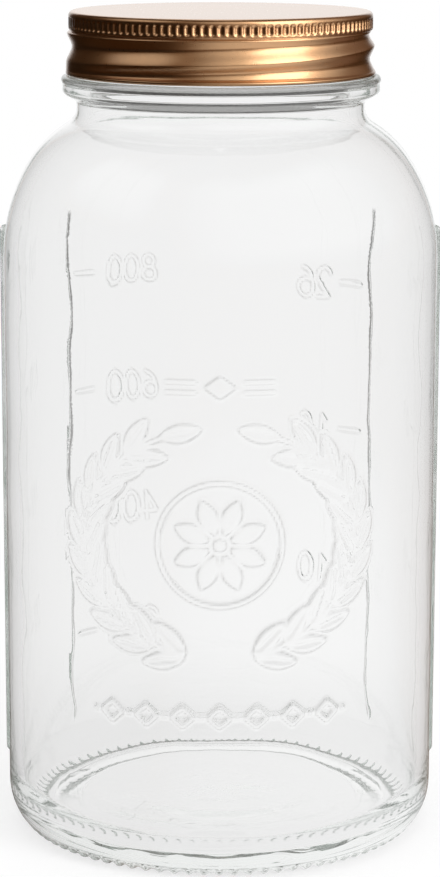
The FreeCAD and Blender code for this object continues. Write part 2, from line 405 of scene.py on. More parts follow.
def wreath_side(u, v, side):
    """Leaves in pairs along an oval stem, splayed from the stem's direction, and one leaf at its end."""
    u = u * side
    far = np.hypot(u / WREATH_HALF_WIDTH, (v - WREATH_MIDDLE[1]) / WREATH_HALF_HEIGHT)
    angle = np.degrees(np.arctan2((v - WREATH_MIDDLE[1]) / WREATH_HALF_HEIGHT, u / WREATH_HALF_WIDTH))
    ends = np.radians(np.minimum(angle - WREATH_START, WREATH_END - angle)) * WREATH_HALF_HEIGHT
    raised = plateau(STEM_HALF_WIDTH - np.abs(far - 1.0) * WREATH_HALF_HEIGHT, LINE_EDGE) * plateau(ends, 1.0)
    for step in range(LEAF_STEPS):
        place, along = wreath_stem(WREATH_START + FIRST_LEAF + LEAF_SPAN * step / LEAF_STEPS)
        for lean in (-1, 1):
            middle = place - lean * LEAF_OFFSET * unit(along - 90.0)
            raised = np.maximum(raised, veined_leaf(u, v, middle, along + lean * LEAF_SPLAY))
    place, along = wreath_stem(WREATH_END + LAST_LEAF)
    return np.maximum(raised, veined_leaf(u, v, place, along))


def rosette(u, v):
    """Petals round a small boss, inside a raised ring whose ends meet in a low joint on the left."""
    across, up = u - WREATH_MIDDLE[0], v - WREATH_MIDDLE[1]
    far = np.hypot(across, up)
    inside = BOSS_RADIUS - far
    for index in range(ROSETTE_PETALS):
        direction = 360.0 * (index + 0.5) / ROSETTE_PETALS
        middle = WREATH_MIDDLE + ROSETTE_REACH * unit(direction)
        inside = np.maximum(inside, leaf(u, v, middle, direction, PETAL_LENGTH, PETAL_WIDTH)[0])
    from_joint = (math.pi - np.abs(np.arctan2(up, across))) * RING_RADIUS
    ring = plateau(LINE_HALF_WIDTH - np.abs(far - RING_RADIUS), ORNAMENT_EDGE)
    return np.maximum(ring * plateau(from_joint, ORNAMENT_EDGE), plateau(inside, ORNAMENT_EDGE))


def lozenge(u, v, middle, halves):
    """Distance inside a diamond of a half length and a half height, measured across its side."""
    length, height = halves
    reach = np.abs(u - middle[0]) * height + np.abs(v - middle[1]) * length
    return (length * height - reach) / math.hypot(length, height)


def chain(u, v):
    """Outlined lozenges in a row with small round studs between them."""
    raised = np.zeros_like(u)
    first = -(CHAIN_COUNT - 1) / 2 * CHAIN_PITCH
    for index in range(CHAIN_COUNT):
        middle = (first + index * CHAIN_PITCH, CHAIN_HEIGHT)
        inside = lozenge(u, v, middle, CHAIN_LOZENGE)
        raised = np.maximum(raised, plateau(LINE_HALF_WIDTH - np.abs(inside - 0.55), LINE_EDGE))
        for side in (-1, 1):
            stud = np.hypot(u - middle[0] - side * CHAIN_PITCH / 2, v - CHAIN_HEIGHT)
            raised = np.maximum(raised, plateau(STUD_RADIUS - stud, LINE_EDGE))
    return raised


def top_rule(u, v):
    """Two pairs of short bars with a lozenge between them."""
    raised = plateau(lozenge(u, v, (0.0, RULE_HEIGHT), RULE_LOZENGE), ORNAMENT_EDGE)
    for side in (-1, 1):
        for height in (RULE_HEIGHT - RULE_RISE, RULE_HEIGHT + RULE_RISE):
            bar = np.array([side * RULE_BAR[0], height, side * RULE_BAR[1], height])
            raised = np.maximum(raised, plateau(DIGIT_STROKE - from_line(u, v, bar), LINE_EDGE))
    return raised


def front_relief(angles, heights):
    """Height of the ornament over the wall in millimetres, by arc length from the front and height."""
    u, v = unrolled_wall(angles, heights, FRONT)
    raised = np.maximum(wreath_side(u, v, 1.0), wreath_side(u, v, -1.0))
    raised = np.maximum(raised, rosette(u, v))
    raised = np.maximum(raised, chain(u, v))
    raised = np.maximum(raised, top_rule(u, v))
    return ORNAMENT_PROUD * raised


# ---- measuring scale on the back ----
SCALE_HALF = 43.1             # the two upright lines stand this far round from the middle of the back
SCALE_BOTTOM = 13.5
SCALE_TOP = 137.0
SCALE_PROUD = 0.52
DIGIT_PROUD = 0.52
OUNCE_MARKS = {"26": 118.8, "18": 83.4, "10": 48.4}
MILLILITRE_MARKS = {"800": 121.6, "600": 93.0, "400": 63.4, "200": 33.6}
DIGIT_HEIGHT = 6.6
DIGIT_WIDTH = 3.8
DIGIT_GAP = 1.1
NUMBERS_START = 13.5          # the numbers lie between these two distances from the middle of the back
NUMBERS_END = 30.0
OUNCE_RIGHT = -20.5           # where the numbers end, and where the ticks start and end
OUNCE_TICK = (-39.6, -32.2)
MILLILITRE_RIGHT = 30.1
MILLILITRE_TICK = (34.3, 40.7)
DIGIT_STROKE = 0.42
BACK_HALF_ANGLE = 58.0

# Each stroke is an arc of an oval in a box one wide and one high: (middle x, middle y, half width, half
# height, start angle, end angle). A straight stroke has its two ends instead.
DIGIT_STROKES = {
    "0": [(0.5, 0.5, 0.5, 0.5, 0, 360)],
    "1": [((0.6, 0.0), (0.6, 1.0)), ((0.6, 1.0), (0.25, 0.78))],
    "2": [(0.5, 0.7, 0.5, 0.3, 165, -40), ((0.88, 0.5), (0.0, 0.0)), ((0.0, 0.0), (1.0, 0.0))],
    "4": [((0.75, 0.0), (0.75, 1.0)), ((0.75, 1.0), (0.0, 0.3)), ((0.0, 0.3), (1.0, 0.3))],
    "6": [(0.5, 0.3, 0.5, 0.3, 0, 360), (0.85, 0.3, 0.85, 0.7, 180, 95)],
    "8": [(0.5, 0.75, 0.4, 0.25, 0, 360), (0.5, 0.26, 0.5, 0.26, 0, 360)],
}


def digit_lines(text, left, bottom):
    """The straight pieces of a number's strokes: (start u, start v, end u, end v) rows."""
    lines = []
    for place, digit in enumerate(text):
        corner = np.array([left + place * (DIGIT_WIDTH + DIGIT_GAP), bottom])
        size = np.array([DIGIT_WIDTH, DIGIT_HEIGHT])
        for stroke in DIGIT_STROKES[digit]:
            if len(stroke) == 6:
                middle_x, middle_y, half_x, half_y, start, end = stroke
                turned = np.radians(np.linspace(start, end, 19))
                points = np.stack([middle_x + half_x * np.cos(turned), middle_y + half_y * np.sin(turned)], 1)
            else:
                points = np.array(stroke)
            points = corner + points * size
            lines.append(np.concatenate([points[:-1], points[1:]], axis=1))
    return np.concatenate(lines)


def near_lines(u, v, lines):
    """Distance from each grid point to the nearest of the straight pieces."""
    nearest = np.full(u.shape, 99.0)
    for line in lines:
        nearest = np.minimum(nearest, from_line(u, v, line))
    return nearest


def text_width(text):
    """Width of a number in millimetres."""
    return len(text) * DIGIT_WIDTH + (len(text) - 1) * DIGIT_GAP


def scale_lines():
    """Strokes of all the numbers and ticks, with u running to the right as seen from behind."""
    strokes = []
    for marks, right, (start, end) in (
        (OUNCE_MARKS, OUNCE_RIGHT, OUNCE_TICK),
        (MILLILITRE_MARKS, MILLILITRE_RIGHT, MILLILITRE_TICK),
    ):
        for text, height in marks.items():
            strokes.append(digit_lines(text, right - text_width(text), height - DIGIT_HEIGHT / 2))
            strokes.append(np.array([[start, height, end, height]]))
    return np.concatenate(strokes)


def wobble(place, seed):
    """A slow unevenness, the sum of three sines of unlike lengths."""
    total = np.sin(place / 7.3 + seed) + 0.6 * np.sin(place / 2.9 + 2.3 * seed)
    return total + 0.35 * np.sin(place / 1.1 + 5.1 * seed)


def back_relief(angles, heights):
    """Height of the measuring scale over the wall in millimetres."""
    u, v = unrolled_wall(angles, heights, BACK)
    raised = DIGIT_PROUD * plateau(DIGIT_STROKE - near_lines(u, v, scale_lines()), LINE_EDGE)
    ends = np.minimum(v - SCALE_BOTTOM, SCALE_TOP - v)
    for side in (-1, 1):
        middle = side * SCALE_HALF + 0.05 * wobble(v, 1.7 + side)
        width = 0.2 + 0.06 * wobble(v * 4.3, 0.4 + side)
        line = plateau(width - np.abs(u - middle), 0.5) * plateau(ends, 0.8)
        worn = (0.72 + 0.28 * smooth_step((v - 45.0) / 60.0)) * (1.0 + 0.12 * wobble(v * 5.1, side))
        raised = np.maximum(raised, SCALE_PROUD * worn * line)
    return raised


# ---------------------------------------------------------------- the glass


# Waves in one turn, height of one wave and share of the depth.
GLASS_WAVES = (
    (2, 61.0, 1.0), (3, -43.0, 0.8), (5, 37.0, 0.55), (8, -29.0, 0.4), (13, 23.0, 0.25), (17, -15.0, 0.14),
)


def unevenness(angles, heights, depth, seed):
    """Slow waves of moulded glass: a sum of sines over the turn and the height."""
    turned = np.radians(angles)[None, :]
    height = heights[:, None]
    total = 0.0 * turned * height
    for order, (waves, length, share) in enumerate(GLASS_WAVES):
        total = total + share * np.sin(waves * turned + 2 * math.pi * height / length + seed * (order + 1.3))
    return depth * total


def rib_radius(angles, heights):
    """Radius of the two side ribs' surface: a round bar half sunk in the wall, with round ends."""
    sideways = BODY_RADIUS * np.sin(np.radians(angles))[None, :]
    beyond = np.maximum(np.maximum(RIB_BOTTOM - heights, heights - RIB_TOP), 0.0)[:, None]
    left = RIB_TUBE ** 2 - sideways ** 2 - beyond ** 2
    middle = BODY_RADIUS + RIB_PROUD - RIB_TUBE
    return np.where(left > 0.0, middle + np.sqrt(np.maximum(left, 0.0)), 0.0)


def seam_relief(angles, amount, width):
    """The mould's joint, a low ridge on each side that is stronger on the right."""
    right = np.radians(apart(angles, 0.0)) * NECK_RADIUS
    left = np.radians(apart(angles, 180.0)) * NECK_RADIUS
    return amount * (np.exp(-((right / width) ** 2)) + 0.45 * np.exp(-((left / width) ** 2)))


def bar_relief(angles, reach):
    """Grip bars on the toe, fire-polished to low swells that fade out at both ends, by the distance along the
    section from the toe's start."""
    pitch = 360.0 / BAR_COUNT
    sideways = np.radians((angles / pitch - np.round(angles / pitch)) * pitch) * (BODY_RADIUS - TOE_RADIUS)
    swell = smooth_step(1.0 - np.abs(sideways) / BAR_HALF_WIDTH)
    ends = smooth_step((reach + 0.3) / 0.9) * smooth_step((BAR_OUTER_REACH + 1.2 - reach) / 2.4)
    return BAR_PROUD * swell[None, :] * ends[:, None]


def bar_columns():
    """Eight angles for each bar, close together on the bar itself."""
    pitch = 360.0 / BAR_COUNT
    sideways = np.array([-1.35, -0.87, -0.55, -0.18, 0.18, 0.55, 0.87, 1.35])
    offsets = np.degrees(sideways / (BODY_RADIUS - TOE_RADIUS))
    return wrapped((np.arange(BAR_COUNT)[:, None] * pitch + offsets[None, :]).ravel())


def wall_rows(heights):
    """Radius and heading of the upright wall and the start of the shoulder at each height."""
    rise = np.clip((heights - SHOULDER_START) / SHOULDER_LOWER_RADIUS, 0.0, 1.0)
    turned = np.arcsin(rise)
    radius = BODY_RADIUS - SHOULDER_LOWER_RADIUS * (1.0 - np.cos(turned))
    return np.column_stack([radius, heights, 90.0 + np.degrees(turned)])


def wall_sector(surface, angles, heights, decoration, glass):
    """One upright part of the wall: its waves, its ribs and its decoration."""
    rows = wall_rows(heights)
    relief = unevenness(angles, heights, glass.waviness / MM, 1.0)
    relief = relief * smooth_step((heights - heights[0]) / 6.0)[:, None]
    if decoration is not None:
        relief = relief + decoration(angles, heights)
    relief = np.maximum(relief, rib_radius(angles, heights) - rows[:, 0][:, None])
    ids = surface.add_points(swept(rows, angles, relief))
    surface.grid(ids, closed=False)
    return ids


def sector_angles():
    """Angles of the wall's four sectors, fine where they are decorated: front, right, back and left."""
    fine_turn = math.degrees(FINE_STEP / BODY_RADIUS)
    front_edge = FRONT + FRONT_HALF_ANGLE
    back_edge = BACK - BACK_HALF_ANGLE
    line_turn = math.degrees(SCALE_HALF / BODY_RADIUS)
    number_turn = math.degrees(NUMBERS_END / BODY_RADIUS)
    inner_turn = math.degrees(NUMBERS_START / BODY_RADIUS)
    front = graded((2 * FRONT - front_edge, front_edge, fine_turn))
    rib_spans = ((-12.0, -2.0, 2.2), (-2.0, 2.0, 0.33), (2.0, 12.0, 2.2))
    right = graded(
        (front_edge, front_edge + 3, 1.0), (front_edge + 3, -12.0, 2.2), *rib_spans,
        (12.0, back_edge - 3, 2.2), (back_edge - 3, back_edge - 1, 1.0),
    )
    half = graded(
        (0.0, inner_turn, 2.0), (inner_turn, number_turn, fine_turn), (number_turn, line_turn - 1.5, 0.8),
        (line_turn - 1.5, line_turn + 1.5, 0.27), (line_turn + 1.5, BACK_HALF_ANGLE, 1.2),
    )
    back = BACK + np.concatenate([-half[::-1], [0.0], half])
    return front, right, back, 180.0 - right[::-1]


def front_heights(bottom):
    """Row heights of the front: fine over the chain and from the wreath up to the rule."""
    chain_low, chain_high = CHAIN_HEIGHT - 3.6, CHAIN_HEIGHT + 3.6
    return graded(
        (bottom, chain_low, 2.2), (chain_low, chain_high, FINE_STEP), (chain_high, WREATH_LOW, 1.8),
        (WREATH_LOW, WREATH_HIGH, FINE_STEP), (WREATH_HIGH, RULE_HEIGHT + 3.2, FINE_STEP),
        (RULE_HEIGHT + 3.2, WALL_TOP, 2.2),
    )


def side_heights(bottom):
    """Row heights of a side: fine at the rib's round ends."""
    low, high = RIB_BOTTOM - 2.5, RIB_TOP - 1.5
    return graded((bottom, low, 1.0), (low, low + 3.5, 0.35), (low + 3.5, high, 3.2), (high, WALL_TOP, 0.35))


def back_heights(bottom):
    """Row heights of the back: fine over each number."""
    spans, at = [], bottom
    for mark in sorted([*OUNCE_MARKS.values(), *MILLILITRE_MARKS.values()]):
        low, high = mark - DIGIT_HEIGHT / 2 - 0.7, mark + DIGIT_HEIGHT / 2 + 0.7
        if low > at:
            spans.append((at, low, 1.1))
            at = low
        spans.append((at, high, FINE_STEP))
        at = high
    return graded(*spans, (at, WALL_TOP, 1.1))


def add_wall(surface, bottom, glass):
    """Four sectors with their own spacings, zipped together. Returns the two end rings and their angles."""
    front, right, back, left = sector_angles()
    sectors = (
        (front, front_heights(bottom), front_relief),
        (right, side_heights(bottom), None),
        (back, back_heights(bottom), back_relief),
        (left, side_heights(bottom), None),
    )
    made = []
    for angles, above_bottom, decoration in sectors:
        heights = np.concatenate([[bottom], above_bottom])
        made.append((angles, heights, wall_sector(surface, angles, heights, decoration, glass)))
    for this, after in zip(made, made[1:] + made[:1]):
        surface.zip_rows(after[2][:, 0], after[1], this[2][:, -1], this[1])
    low = np.concatenate([ids[0] for angles, heights, ids in made])
    high = np.concatenate([ids[-1] for angles, heights, ids in made])
    turns = np.concatenate([angles for angles, heights, ids in made])
    turns = (turns - TURN_START) % 360.0 + TURN_START
    order = np.argsort(turns)
    return low[order], high[order], turns[order]


def add_underside(surface, toe_start):
    """The raised panel in the middle of the base, with its faint ripples, and the slope down to the toe."""
    pen = Pen(POLE_RING, BASE_PANEL_HEIGHT, 0.0)
    pen.run_to_radius(BASE_PANEL_RADIUS, 2.5)
    pen.bend(BASE_SLOPE_BEND, -BASE_SLOPE, 0.2)
    turned = math.radians(BASE_SLOPE)
    drop = BASE_PANEL_HEIGHT - BAR_HEIGHT
    pen.run((drop - 2 * BASE_SLOPE_BEND * (1 - math.cos(turned))) / math.sin(turned), 1.0)
    pen.bend(BASE_SLOPE_BEND, BASE_SLOPE, 0.2)
    pen.run_to_radius(toe_start - BAR_LAND - 0.15, 1.0)
    rows = pen.drawn()
    ring = even_ring(120)
    ripple = 0.05 * np.sin(rows[:, 0] / 1.9)[:, None] + 0.04 * unevenness(ring, rows[:, 0], 1.0, 3.0)
    first, last = surface.band(swept(rows, ring, ripple * smooth_step((30.0 - rows[:, 0]) / 5.0)[:, None]))
    surface.cap(first, BASE_PANEL_HEIGHT, low_side=True)
    return last, ring


def add_toe(surface, toe_start, below):
    """The toe with its grip bars, and the heel, up to the foot of the wall."""
    pen = Pen(toe_start - BAR_LAND, BAR_HEIGHT, 0.0)
    pen.run(BAR_LAND, 0.55)
    land = len(pen.drawn())
    pen.bend(TOE_RADIUS, TOE_TURN, 0.55)
    pen.bend(HEEL_RADIUS, HEEL_TURN, 1.0)
    rows = pen.drawn()
    steps = np.hypot(*np.diff(rows[:, :2], axis=0).T)
    reach = np.concatenate([[0.0], np.cumsum(steps)])
    bars = bar_columns()
    points = swept(rows, bars, bar_relief(bars, reach - reach[land - 1]))
    points[..., 2] = np.maximum(points[..., 2], 0.0)
    first, last = surface.band(points)
    surface.zip_rows(*below, first, bars, 360.0)
    return last, bars, rows[-1, 1]


def add_shoulder_and_collar(surface, below, glass):
    """Shoulder, neck, collar with its crest, and the finish up to the lip. Also returns the last row, the
    neck fillet's radius and the height where the neck starts, which the inside follows."""
    start = wall_rows(np.array([WALL_TOP + WALL_GAP]))[0]
    pen = Pen(*start)
    pen.bend(SHOULDER_LOWER_RADIUS, SHOULDER_LOWER_TURN - (start[2] - 90.0), 1.5)
    pen.bend(SHOULDER_UPPER_RADIUS, SHOULDER_UPPER_TURN, 1.3)
    fillet = (pen.at[0] - NECK_RADIUS) / (1 - math.cos(math.radians(SHOULDER_TURN)))
    pen.bend(fillet, -SHOULDER_TURN, 0.7)
    neck_bottom = pen.at[1]
    pen.run_to_height(NECK_TOP, 0.8)
    pen.bend(COLLAR_FLARE_BEND, -COLLAR_FLARE, 0.2)
    edge_reach = COLLAR_EDGE_BEND * (1 - math.sin(math.radians(90 - COLLAR_FLARE)))
    pen.run((COLLAR_RADIUS - edge_reach - pen.at[0]) / math.sin(math.radians(COLLAR_FLARE)), 0.5)
    pen.bend(COLLAR_EDGE_BEND, COLLAR_FLARE, 0.2)
    pen.run(COLLAR_STRAIGHT, 0.5)
    pen.bend(CREST_BEND, -CREST_TURN, 0.2)
    pen.bend(CREST_BEND, CREST_TURN, 0.2)
    pen.bend(CREST_ROUND, 90.0, 0.2)
    pen.run_to_radius(FINISH_RADIUS + FINISH_FILLET, 0.9)
    pen.bend(FINISH_FILLET, -90.0, 0.25)
    pen.run_to_height(LIP_HEIGHT - LIP_OUTER_ROUND, 2.2)
    pen.bend(LIP_OUTER_ROUND, 90.0, 0.4)
    pen.run_to_radius(NECK_RADIUS - GLASS_THICKNESS + LIP_INNER_ROUND, 0.5)
    rows = pen.drawn()
    height = rows[:, 1]
    ring = even_ring(168)
    waves = unevenness(ring, height, glass.waviness / MM, 1.0)
    collar = smooth_step((height - NECK_TOP - 0.5) / 1.5) * smooth_step((172.0 - height) / 1.0)
    relief = waves * smooth_step((171.0 - height) / 20.0)[:, None]
    relief = relief + collar[:, None] * (seam_relief(ring, 0.3, 3.4)[None, :] + 0.6 * waves)
    relief = relief + seam_relief(ring, 0.16, 0.9)[None, :] * smooth_step((170.0 - height) / 1.0)[:, None]
    first, last = surface.band(swept(rows, ring, relief))
    surface.zip_rows(*below, first, ring, 360.0)
    return last, ring, rows[-1], fillet, neck_bottom


def add_inside(surface, below, lip, fillet, neck_bottom, glass):
    """From the lip down the inside of the neck, the shoulder and the wall to the slightly domed floor."""
    pen = Pen(*lip)
    pen.bend(LIP_INNER_ROUND, 90.0, 0.4)
    pen.run_to_height(neck_bottom, 1.8)
    pen.bend(fillet + GLASS_THICKNESS, SHOULDER_TURN, 1.0)
    pen.bend(SHOULDER_UPPER_RADIUS - GLASS_THICKNESS, -SHOULDER_UPPER_TURN, 1.6)
    pen.bend(SHOULDER_LOWER_RADIUS - GLASS_THICKNESS, -SHOULDER_LOWER_TURN, 2.0)
    corner_drop = FLOOR_CORNER_RADIUS * math.cos(math.radians(FLOOR_RISE))
    pen.run_to_height(FLOOR_HEIGHT + corner_drop, 3.4)
    pen.bend(FLOOR_CORNER_RADIUS, -90.0 - FLOOR_RISE, 0.6)
    floor_radius = abs(pen.at[0] / math.sin(math.radians(FLOOR_RISE)))
    pen.bend(floor_radius, FLOOR_RISE * (1.0 - POLE_RING / pen.at[0]), 1.6)
    rows = pen.drawn()[1:]
    reach, height = rows[:, 0], rows[:, 1]
    ring = even_ring(120)
    steady = smooth_step((height - 14.0) / 12.0) * smooth_step((176.0 - height) / 12.0)
    relief = unevenness(ring, height, glass.inner_waviness / MM, 2.2) * steady[:, None]
    floor = smooth_step((9.0 - height) / 2.0) * smooth_step(reach / 6.0)
    ripples = 0.06 * np.sin(reach / 1.3) + 0.05 * np.sin(reach / 2.7 + 1.0)
    relief = relief + (floor * ripples)[:, None] + floor[:, None] * unevenness(ring, reach, 0.05, 4.0)
    first, last = surface.band(swept(rows, ring, relief))
    surface.zip_rows(*below, first, ring, 360.0)
    surface.cap(last, rows[-1, 1], low_side=False)


def make_glass(glass):
    """The whole skin of the glass as one closed surface, outside from the base up and inside down again."""
    surface = Surface()
    toe_reach = TOE_RADIUS * math.sin(math.radians(TOE_TURN))
    heel_reach = HEEL_RADIUS * (1 - math.sin(math.radians(TOE_TURN)))
    toe_start = BODY_RADIUS - toe_reach - heel_reach
    under = add_underside(surface, toe_start)
    toe, bars, toe_top = add_toe(surface, toe_start, under)
    wall_low, wall_high, turns = add_wall(surface, toe_top + WALL_GAP, glass)
    surface.zip_rows(toe, bars, wall_low, turns, 360.0)
    lip, ring, lip_row, fillet, neck_bottom = add_shoulder_and_collar(surface, (wall_high, turns), glass)
    add_inside(surface, (lip, ring), lip_row, fillet, neck_bottom, glass)
    return surface.make_object("jar_glass")


# ---------------------------------------------------------------- the lid


def groove_section(offset, unrolled):
    """The rolled groove's depth, 0 to 1, at a height above its middle: a flat floor between two flanks, each
    the mean of a straight line and a cubic step. The short upper flank is longer for about a turn, and the
    long lower flank is shorter where the groove ends."""
    growth = smooth_step(unrolled / THREAD_FLANK_EASE)
    growth = growth * smooth_step((360.0 + THREAD_FLANK_EASE - unrolled) / THREAD_FLANK_RETURN)
    shrink = smooth_step((unrolled - 360.0) / THREAD_FLANK_EASE)
    upper = THREAD_UPPER_FLANK + THREAD_FLANK_CHANGE * growth
    lower = THREAD_LOWER_FLANK - THREAD_FLANK_CHANGE * shrink
    flank = np.where(offset > 0, upper, lower)
    straight = 1.0 - np.clip((np.abs(offset) - THREAD_FLOOR / 2) / flank, 0.0, 1.0)
    return (straight + smooth_step(straight)) / 2


def skirt_radius(angles, heights):
    """Outer radius of the lid's wall: a slightly tapered sheet with one helical groove rolled into it."""
    angle = angles[None, :]
    height = heights[:, None]
    taper = (height - SKIRT_BOTTOM) / (SKIRT_TOP - SKIRT_BOTTOM)
    radius = SKIRT_RADIUS + (SKIRT_UPPER_RADIUS - SKIRT_RADIUS) * taper
    turned_in = smooth_step((height - BAND_BOTTOM + SKIRT_TURN_IN) / SKIRT_TURN_IN)
    radius = radius - (SKIRT_UPPER_RADIUS - SKIRT_END_RADIUS) * turned_in
    groove = 0.0 * angle * height
    for turn in (-1, 0, 1):
        unrolled = (angle - FRONT) % 360.0 + 360.0 * turn
        faded_in = smooth_step((unrolled - THREAD_START) / THREAD_FADE + 0.5)
        faded_out = smooth_step((THREAD_END - unrolled) / THREAD_FADE + 0.5)
        offset = height - THREAD_FRONT_HEIGHT - THREAD_LEAD * unrolled / 360.0
        groove = np.maximum(groove, groove_section(offset, unrolled) * faded_in * faded_out)
    end_cover = smooth_step((height - SKIRT_BOTTOM) / SKIRT_TURN_IN)
    end_cover = end_cover * smooth_step((BAND_BOTTOM - height) / SKIRT_TURN_IN)
    return radius - THREAD_DEPTH * groove * end_cover


def flute_depth(angles, heights):
    """How deep the grip flutes cut: an upright round rod with round ends, repeated round the band."""
    pitch = 360.0 / FLUTE_COUNT
    sideways = np.radians((angles / pitch - np.round(angles / pitch)) * pitch)[None, :] * BAND_RADIUS
    low, high = FLUTE_BOTTOM + FLUTE_TUBE, FLUTE_TOP - FLUTE_TUBE
    beyond = np.maximum(np.maximum(low - heights, heights - high), 0.0)[:, None]
    left = FLUTE_TUBE ** 2 - sideways ** 2 - beyond ** 2
    return np.maximum(np.sqrt(np.maximum(left, 0.0)) - FLUTE_TUBE + FLUTE_DEPTH, 0.0)


def upright_rows(heights):
    """Rows at the axis that face outwards, so that their relief is the whole radius."""
    return np.column_stack([np.zeros(len(heights)), heights, np.full(len(heights), 90.0)])


def flat_relief(rows, ring):
    """No relief at all."""
    return np.zeros((len(rows), len(ring)))


def add_lid_inside(surface, around):
    """The underside of the top and the inner face of the rolled wall."""
    height = LID_TOP - LID_TOP_THICKNESS
    pen = Pen(POLE_RING, height, 0.0)
    pen.run_to_radius(SKIRT_END_RADIUS - SKIRT_SHEET - 1.6, 4.0)
    pen.bend(1.0, -90.0, 0.3)
    rows = pen.drawn()
    ring = even_ring(120)
    first, last = surface.band(swept(rows, ring, flat_relief(rows, ring)))
    surface.cap(first, height, low_side=True)
    heights = np.linspace(BAND_BOTTOM, SKIRT_BOTTOM, 48)
    inside = skirt_radius(around, heights) - SKIRT_SHEET
    wall_first, wall_last = surface.band(swept(upright_rows(heights), around, inside))
    surface.zip_rows(last, ring, wall_first, around, 360.0)
    return wall_last


def add_lid_wall(surface, around, inner):
    """The curl, an arc round the end of the sheet, and the outer face of the rolled wall."""
    turn = np.linspace(150.0, 390.0, 13)
    middle = SKIRT_RADIUS - CURL_TUBE + 0.05
    curl = CURL_TUBE * unit(turn) + (middle, SKIRT_BOTTOM)
    rows = np.column_stack([curl, turn + 90.0])
    first, last = surface.band(swept(rows, around, flat_relief(rows, around)))
    surface.zip_rows(inner, around, first, around, 360.0)
    heights = graded((SKIRT_BOTTOM + 0.3, BAND_BOTTOM + 0.02, 0.145))
    wall_first, wall_last = surface.band(swept(upright_rows(heights), around, skirt_radius(around, heights)))
    surface.zip_rows(last, around, wall_first, around, 360.0)
    return wall_last


def add_lid_top(surface, around, below):
    """The fluted band, the rounded corner and the flat top."""
    pitch = 360.0 / FLUTE_COUNT
    offsets = np.array([-0.5, -0.36, -0.27, -0.14, 0.0, 0.14, 0.27, 0.36]) * pitch
    flutes = wrapped((np.arange(FLUTE_COUNT)[:, None] * pitch + offsets[None, :]).ravel())
    pen = Pen(SKIRT_END_RADIUS + 0.08, BAND_BOTTOM + 0.04, 0.0)
    pen.run_to_radius(BAND_RADIUS - BAND_EDGE_BEND, 0.2)
    pen.bend(BAND_EDGE_BEND, 90.0, 0.12)
    pen.run_to_height(LID_TOP - LID_CORNER, 0.2)
    rows = pen.drawn()
    upright = rows[:, 2] > 80.0
    first, last = surface.band(swept(rows, flutes, -flute_depth(flutes, rows[:, 1]) * upright[:, None]))
    surface.zip_rows(below, around, first, flutes, 360.0)
    pen = Pen(*rows[-1])
    pen.bend(LID_CORNER, 90.0, 0.16)
    pen.run_to_radius(POLE_RING, 2.2)
    rows = pen.drawn()[1:]
    top_first, top_last = surface.band(swept(rows, around, flat_relief(rows, around)))
    surface.zip_rows(last, flutes, top_first, around, 360.0)
    surface.cap(top_last, LID_TOP, low_side=False)


def make_lid():
    """The sheet as one closed surface: inside, curl, rolled wall, fluted band and top."""
    surface = Surface()
    around = even_ring(288)
    inner = add_lid_inside(surface, around)
    wall = add_lid_wall(surface, around, inner)
    add_lid_top(surface, around, wall)
    return surface.make_object(LID_PIECE)


# ---------------------------------------------------------------- materials


class Value:
    """A number socket in an expression. Each operator adds its Math node and gives the node's output."""

    def __init__(self, graph, socket):
        self.graph = graph
        self.socket = socket

    def _with(self, operation, first, second=0.0):
        node = self.graph.node("ShaderNodeMath", {"operation": operation}, {0: first, 1: second})
        return Value(self.graph, node.outputs[0])

    def __neg__(self):
        return 0.0 - self

    def __abs__(self):
        return self._with("ABSOLUTE", self)

    def __add__(self, other):
        return self._with("ADD", self, other)

    def __radd__(self, other):
        return self._with("ADD", other, self)

    def __sub__(self, other):
        return self._with("SUBTRACT", self, other)

    def __rsub__(self, other):
        return self._with("SUBTRACT", other, self)

    def __mul__(self, other):
        return self._with("MULTIPLY", self, other)

    def __rmul__(self, other):
        return self._with("MULTIPLY", other, self)

    def __truediv__(self, other):
        return self._with("DIVIDE", self, other)

    def __pow__(self, other):
        return self._with("POWER", self, other)

    def above(self, low, high):
        """0 below low, 1 above high, and smooth between."""
        inputs = {"Value": self, "From Min": low, "From Max": high}
        node = self.graph.node("ShaderNodeMapRange", {"interpolation_type": "SMOOTHSTEP"}, inputs)
        return Value(self.graph, node.outputs["Result"])


WHITE = (1.0, 1.0, 1.0, 1.0)


class Graph:
    """A material's or a world's node tree."""

    def __init__(self, tree):
        self.tree = tree
        tree.nodes.clear()

    def node(self, kind, settings=None, inputs=None):
        """A node of a type, with its settings first and then the values or links of its sockets."""
        made = self.tree.nodes.new(kind)
        for name, value in (settings or {}).items():
            setattr(made, name, value)
        for name, value in (inputs or {}).items():
            value = value.socket if isinstance(value, Value) else value
            if isinstance(value, bpy.types.NodeSocket):
                self.tree.links.new(value, made.inputs[name])
            else:
                made.inputs[name].default_value = value
        return made

    def place(self, stretch=(1.0, 1.0, 1.0)):
        """Object coordinates stretched by three factors."""
        source = self.node("ShaderNodeTexCoord").outputs["Object"]
        return self.node("ShaderNodeMapping", None, {"Vector": source, "Scale": stretch}).outputs[0]

    def split(self, vector):
        """The three parts of a vector."""
        axes = self.node("ShaderNodeSeparateXYZ", None, {0: vector})
        return [Value(self, socket) for socket in axes.outputs]

    def noise(self, place, scale, detail, roughness=0.5):
        inputs = {"Vector": place, "Scale": scale, "Detail": detail, "Roughness": roughness}
        return Value(self, self.node("ShaderNodeTexNoise", None, inputs).outputs["Fac"])

    def mix(self, factor, first, second):
        """From the first colour to the second, by the sockets of a Mix node that is set to colour."""
        made = self.node("ShaderNodeMix", {"data_type": "RGBA"}, {0: factor, 6: first, 7: second})
        return made.outputs[2]

    def bump(self, height, strength, distance):
        inputs = {"Height": height, "Strength": strength, "Distance": distance}
        return self.node("ShaderNodeBump", None, inputs).outputs[0]


def colour(values):
    """Three parts with a full alpha."""
    return (*values, 1.0)


